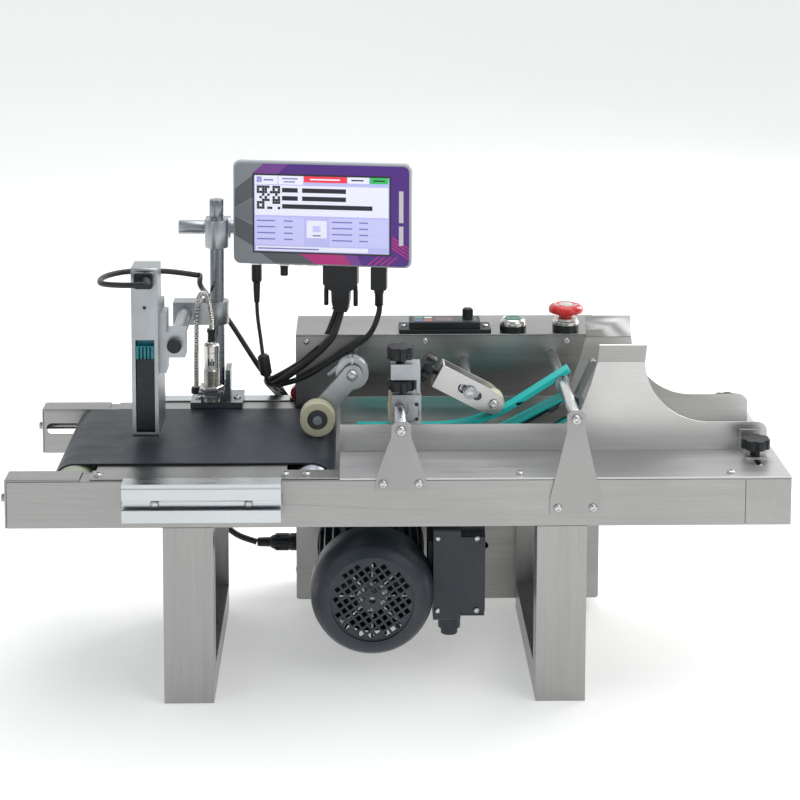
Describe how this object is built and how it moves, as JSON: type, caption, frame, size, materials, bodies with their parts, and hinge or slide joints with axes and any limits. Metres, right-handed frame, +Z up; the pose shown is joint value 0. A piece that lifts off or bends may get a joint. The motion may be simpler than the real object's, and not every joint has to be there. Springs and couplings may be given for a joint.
{
  "type": "date code inkjet printer",
  "caption": "Bench-top coding machine: friction feeder with side guides, short belt conveyor, mast-mounted inkjet head, sensor and touch controller on a steel frame.",
  "frame": {"origin": "on the bench, below the middle of the machine's outline", "axes": "+X along the machine towards the magazine end (products travel towards -X), -Y is the operator's side, +Z up"},
  "size_m": [0.805, 0.348, 0.52],
  "materials": {
    "stainless": "brushed",
    "roller_steel": "turned",
    "aluminium": "satin anodised",
    "conveyor_rubber": "satin",
    "cream_urethane": "satin",
    "roller_cover": "satin",
    "teal_urethane": "satin",
    "black_plastic": "moulded",
    "motor_paint": "textured paint",
    "green_plastic": "gloss",
    "red_plastic": "gloss",
    "board_green": "printed board",
    "cartridge_black": "moulded",
    "grip_teal": "moulded",
    "sensor_nickel": "nickel plated",
    "shell_grey": "satin",
    "face_film": "film over glass",
    "cable_jacket": "satin",
    "zinc_steel": "plated"
  },
  "bodies": {
    "root": {"front_rail": "stainless", "rear_rail": "stainless", "end_caps": "stainless", "table_top": "stainless", "legs": "stainless", "conveyor_frame": "stainless", "slotted_rails": "aluminium", "rod_brackets": "aluminium", "support_rods": "aluminium", "rod_collars": "aluminium", "conveyor_belt": "conveyor_rubber", "gate_bracket": "aluminium", "hold_down_strip": "teal_urethane", "feed_belt": "teal_urethane", "feed_bed": "stainless", "stack_support": "aluminium", "box_body": "stainless", "box_panel": "stainless", "box_top": "stainless", "electronics": "board_green", "speed_controller": "black_plastic", "button_collars": "black_plastic", "motor_body": "motor_paint", "fan_cover": "motor_paint", "terminal_box": "motor_paint", "timing_belt": "black_plastic", "mast": "aluminium", "controller_arm": "aluminium", "cables": "cable_jacket", "screws": "zinc_steel"},
    "drive_roller": {"drive_roller": "roller_steel"},
    "take_up": {"take_up": "stainless"},
    "tail_roller": {"tail_roller": "roller_cover"},
    "motor_rotor": {"motor_rotor": "roller_steel"},
    "feed_drive": {"feed_drive_pulley": "aluminium"},
    "feed_bend": {"feed_bend_pulley": "aluminium"},
    "feed_top": {"feed_top_pulley": "aluminium"},
    "front_guide": {"front_guide": "stainless"},
    "front_guide_knob": {"front_guide_knob": "black_plastic"},
    "rear_guide": {"rear_guide": "stainless"},
    "rear_guide_knob": {"rear_guide_knob": "black_plastic"},
    "hold_down_arm": {"hold_down_arm": "aluminium"},
    "hold_down_roller": {"hold_down_roller": "cream_urethane"},
    "pinch_bracket": {"pinch_bracket": "stainless"},
    "pinch_roller": {"pinch_roller": "cream_urethane"},
    "pinch_knob": {"pinch_knob": "black_plastic"},
    "gate_knob": {"gate_knob": "black_plastic"},
    "gate_lock_knob": {"gate_lock_knob": "black_plastic"},
    "separator": {"separator": "cream_urethane"},
    "head_arm": {"head_arm": "aluminium"},
    "print_head": {"head_housing": "aluminium"},
    "cartridge": {"ink_cartridge": "cartridge_black", "cartridge_grip": "grip_teal"},
    "sensor": {"sensor": "sensor_nickel"},
    "controller": {"controller_shell": "shell_grey", "controller_front": "face_film"},
    "start_cap": {"start_cap": "green_plastic"},
    "estop_head": {"estop_head": "red_plastic"},
    "speed_knob": {"speed_knob": "black_plastic"},
    "rocker": {"rocker_switch": "red_plastic"}
  },
  "joints": [
    {"name": "drive_roller_spin", "type": "hinge", "parent": "root", "child": "drive_roller", "pos_m": [-0.0875, -0.024, 0.214], "axis": [0, 1, 0], "continuous": true},
    {"name": "take_up_slide", "type": "slide", "parent": "root", "child": "take_up", "axis": [1, 0, 0], "range_m": [0, 0.004]},
    {"name": "tail_roller_spin", "type": "hinge", "parent": "take_up", "child": "tail_roller", "pos_m": [-0.3335, -0.024, 0.214], "axis": [0, 1, 0], "continuous": true},
    {"name": "motor_rotor_spin", "type": "hinge", "parent": "root", "child": "motor_rotor", "pos_m": [-0.0245, -0.024, 0.091], "axis": [0, 1, 0], "continuous": true},
    {"name": "feed_drive_spin", "type": "hinge", "parent": "root", "child": "feed_drive", "pos_m": [-0.0355, -0.018, 0.229], "axis": [0, 1, 0], "continuous": true},
    {"name": "feed_bend_spin", "type": "hinge", "parent": "root", "child": "feed_bend", "pos_m": [0.11323, -0.018, 0.229], "axis": [0, 1, 0], "continuous": true},
    {"name": "feed_top_spin", "type": "hinge", "parent": "root", "child": "feed_top", "pos_m": [0.18612, -0.018, 0.27099], "axis": [0, 1, 0], "continuous": true},
    {"name": "front_guide_slide", "type": "slide", "parent": "root", "child": "front_guide", "axis": [0, 1, 0], "range_m": [-0.02, 0.013]},
    {"name": "front_guide_lock", "type": "hinge", "parent": "front_guide", "child": "front_guide_knob", "pos_m": [0.3775, -0.094, 0.248], "axis": [0, 0, 1], "range_deg": [0, 270]},
    {"name": "rear_guide_slide", "type": "slide", "parent": "root", "child": "rear_guide", "axis": [0, 1, 0], "range_m": [-0.013, 0.02]},
    {"name": "rear_guide_lock", "type": "hinge", "parent": "rear_guide", "child": "rear_guide_knob", "pos_m": [0.3775, 0.058, 0.248], "axis": [0, 0, 1], "range_deg": [0, 270]},
    {"name": "hold_down_pivot", "type": "hinge", "parent": "root", "child": "hold_down_arm", "pos_m": [-0.0455, -0.004, 0.3005], "axis": [0, 1, 0], "range_deg": [0, 70]},
    {"name": "hold_down_roller_spin", "type": "hinge", "parent": "hold_down_arm", "child": "hold_down_roller", "pos_m": [-0.083, -0.014, 0.25705], "axis": [0, 1, 0], "continuous": true},
    {"name": "pinch_slide", "type": "slide", "parent": "root", "child": "pinch_bracket", "axis": [0.8854, 0, -0.4648], "range_m": [-0.005, 0]},
    {"name": "pinch_roller_spin", "type": "hinge", "parent": "pinch_bracket", "child": "pinch_roller", "pos_m": [0.1065, -0.023, 0.27768], "axis": [0, 1, 0], "continuous": true},
    {"name": "pinch_knob_turn", "type": "hinge", "parent": "pinch_bracket", "child": "pinch_knob", "pos_m": [0.03921, -0.023, 0.31301], "axis": [0.8854, 0, -0.4648], "range_deg": [-2255, 0]},
    {"name": "gate_knob_turn", "type": "hinge", "parent": "root", "child": "gate_knob", "pos_m": [0.006, -0.072, 0.3055], "axis": [0, 0, 1], "range_deg": [0, 1805]},
    {"name": "separator_lift", "type": "slide", "parent": "root", "child": "separator", "axis": [0, 0, 1], "range_m": [0, 0.004]},
    {"name": "gate_lock_turn", "type": "hinge", "parent": "root", "child": "gate_lock_knob", "pos_m": [0.005, -0.072, 0.339], "axis": [0, 0, 1], "range_deg": [0, 270]},
    {"name": "head_height", "type": "slide", "parent": "root", "child": "head_arm", "axis": [0, 0, 1], "range_m": [-0.006, 0.055], "deforming": ["cables"]},
    {"name": "head_reach", "type": "slide", "parent": "head_arm", "child": "print_head", "axis": [0, 1, 0], "range_m": [0, 0.06], "deforming": ["cables"]},
    {"name": "cartridge_slide", "type": "slide", "parent": "print_head", "child": "cartridge", "axis": [0, -1, 0], "range_m": [0, 0.07], "deforming": ["cables"]},
    {"name": "sensor_height", "type": "slide", "parent": "root", "child": "sensor", "axis": [0, 0, 1], "range_m": [-0.006, 0.01], "deforming": ["cables"]},
    {"name": "controller_tilt", "type": "hinge", "parent": "root", "child": "controller", "pos_m": [-0.0975, 0.133, 0.437], "axis": [1, 0, 0], "range_deg": [-25, 15], "deforming": ["cables"]},
    {"name": "start_press", "type": "slide", "parent": "root", "child": "start_cap", "axis": [0, 0, -1], "range_m": [0, 0.0025]},
    {"name": "estop_press", "type": "slide", "parent": "root", "child": "estop_head", "axis": [0, 0, -1], "range_m": [0, 0.0035]},
    {"name": "speed_knob_turn", "type": "hinge", "parent": "root", "child": "speed_knob", "pos_m": [0.087, 0.108, 0.335], "axis": [0, 0, 1], "range_deg": [0, 270]},
    {"name": "rocker_tilt", "type": "hinge", "parent": "root", "child": "rocker", "pos_m": [-0.109, 0.131, 0.242], "axis": [0, 1, 0], "range_deg": [-10, 10]}
  ],
  "couplings": [
    {"joint": "tail_roller_spin", "follows": "drive_roller_spin", "ratio": 1},
    {"joint": "motor_rotor_spin", "follows": "drive_roller_spin", "ratio": 1.1429},
    {"joint": "feed_drive_spin", "follows": "drive_roller_spin", "ratio": 1.3333},
    {"joint": "feed_bend_spin", "follows": "drive_roller_spin", "ratio": 1.3333},
    {"joint": "feed_top_spin", "follows": "drive_roller_spin", "ratio": 1.8039},
    {"joint": "pinch_knob_turn", "follows": "pinch_slide", "rad_per_m": 7854},
    {"joint": "gate_knob_turn", "follows": "separator_lift", "rad_per_m": 7854}
  ]
}
